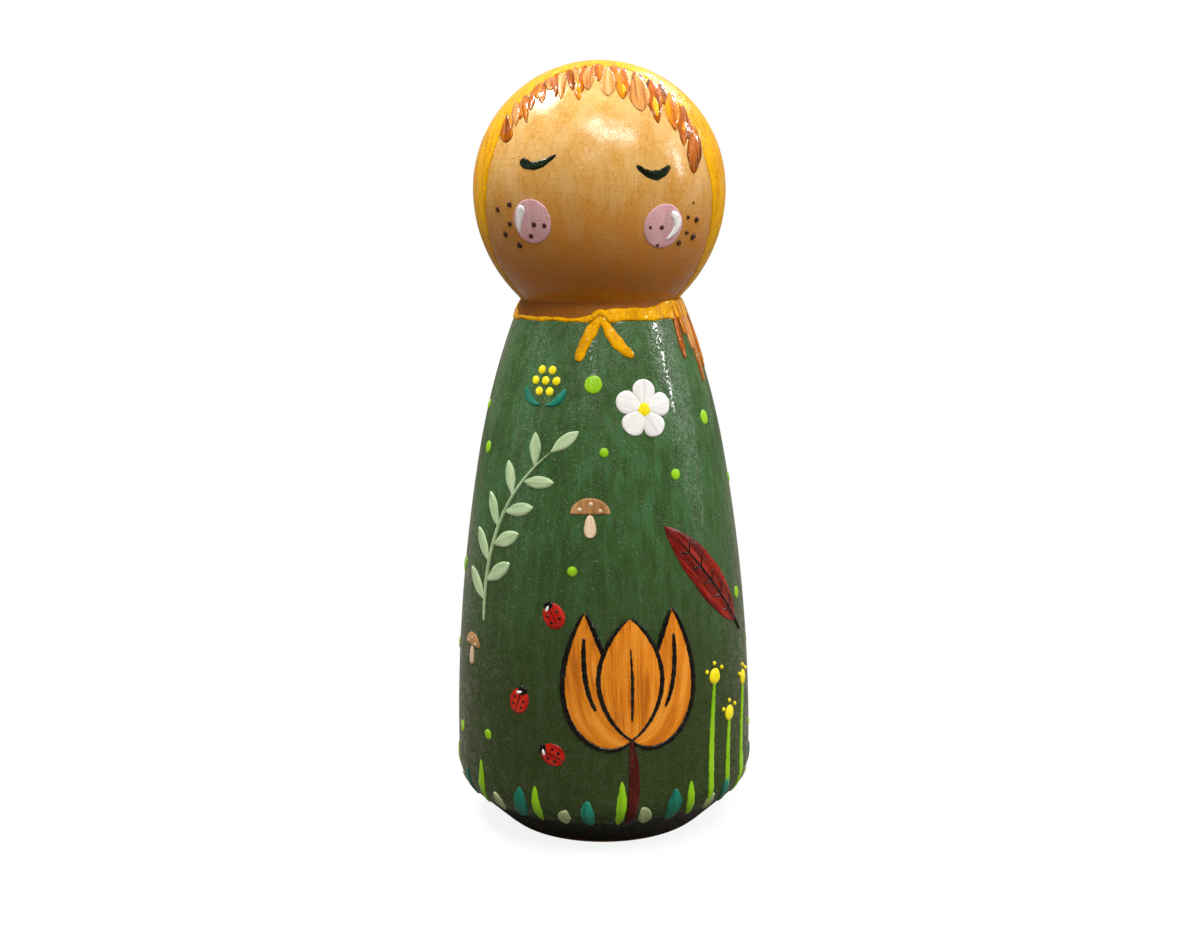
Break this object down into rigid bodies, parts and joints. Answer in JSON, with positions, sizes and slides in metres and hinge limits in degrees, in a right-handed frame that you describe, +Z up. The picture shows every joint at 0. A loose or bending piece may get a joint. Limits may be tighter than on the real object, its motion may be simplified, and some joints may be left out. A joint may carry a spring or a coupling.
{
  "type": "peg doll",
  "caption": "Turned wooden peg doll with a round head, pinched neck and bevelled foot, painted with a hooded sleeping face and a green patterned dress under gloss varnish.",
  "frame": {"origin": "centre of the round foot, on the plane that the doll stands on", "axes": "+Z up through the head, -Y out of the face, +X to the viewer's right"},
  "size_m": [0.0364, 0.0366, 0.0901],
  "materials": {
    "turned_wood": "warm tan hardwood with fine upright grain, gloss varnished",
    "base_black": "near-black brushed acrylic paint, varnished",
    "dress_green": "deep green brushed acrylic paint with faint upright streaks, gloss varnished",
    "hood_yellow": "golden yellow brushed acrylic paint, gloss varnished",
    "lid_dark": "dark green-black paint stroke, varnished",
    "cheek_pink": "dusty pink paint dab, varnished",
    "highlight_white": "white paint dab, varnished",
    "freckle_brown": "dark brown paint dots, varnished",
    "hair_brown": "orange-brown brush strokes, varnished",
    "hair_tan": "light tan brush strokes, varnished",
    "hair_orange": "bright orange brush strokes, varnished",
    "tulip_orange": "streaky orange paint in raised petals, varnished",
    "ink_black": "black-brown drawn lines, varnished",
    "stem_maroon": "dark maroon stroke, varnished",
    "feather_red": "dark red streaky paint, varnished",
    "sprig_green": "pale green raised leaves, varnished",
    "blossom_white": "white raised petals, varnished",
    "flower_yellow": "bright yellow dots, varnished",
    "leaf_teal": "teal strokes, varnished",
    "cap_tan": "tan dabs, varnished",
    "stalk_cream": "cream dabs, varnished",
    "wing_red": "bright red dabs, varnished",
    "leaf_lime": "lime green strokes and dots, varnished",
    "leaf_sage": "sage green strokes, varnished"
  },
  "bodies": {
    "root": {"turned_peg": "turned_wood", "base_coat": "base_black", "dress_coat": "dress_green", "hood_coat": "hood_yellow", "neck_band": "hood_yellow", "neck_knot": "hood_yellow", "left_tie_end": "hood_yellow", "right_tie_end": "hood_yellow", "left_eyelid": "lid_dark", "right_eyelid": "lid_dark", "left_cheek": "cheek_pink", "right_cheek": "cheek_pink", "left_cheek_highlight": "highlight_white", "right_cheek_highlight": "highlight_white", "left_freckles": "freckle_brown", "right_freckles": "freckle_brown", "fringe_brown": "hair_brown", "fringe_tan": "hair_tan", "fringe_orange": "hair_orange", "hair_lock_brown": "hair_brown", "hair_lock_tan": "hair_tan", "tulip_petals": "tulip_orange", "tulip_lines": "ink_black", "tulip_stem": "stem_maroon", "feather_vane": "feather_red", "feather_shaft": "ink_black", "sprig_leaves": "sprig_green", "sprig_stem": "sprig_green", "blossom_petals": "blossom_white", "blossom_centre": "flower_yellow", "dot_flower": "flower_yellow", "dot_flower_leaves": "leaf_teal", "toadstool_caps": "cap_tan", "toadstool_stalks": "stalk_cream", "ladybird_wings": "wing_red", "ladybird_marks": "ink_black", "ladybird_highlights": "highlight_white", "tuft_stems": "leaf_lime", "round_tufts": "flower_yellow", "lime_dots": "leaf_lime", "border_lime": "leaf_lime", "border_teal": "leaf_teal", "border_sage": "leaf_sage"}
  },
  "joints": []
}
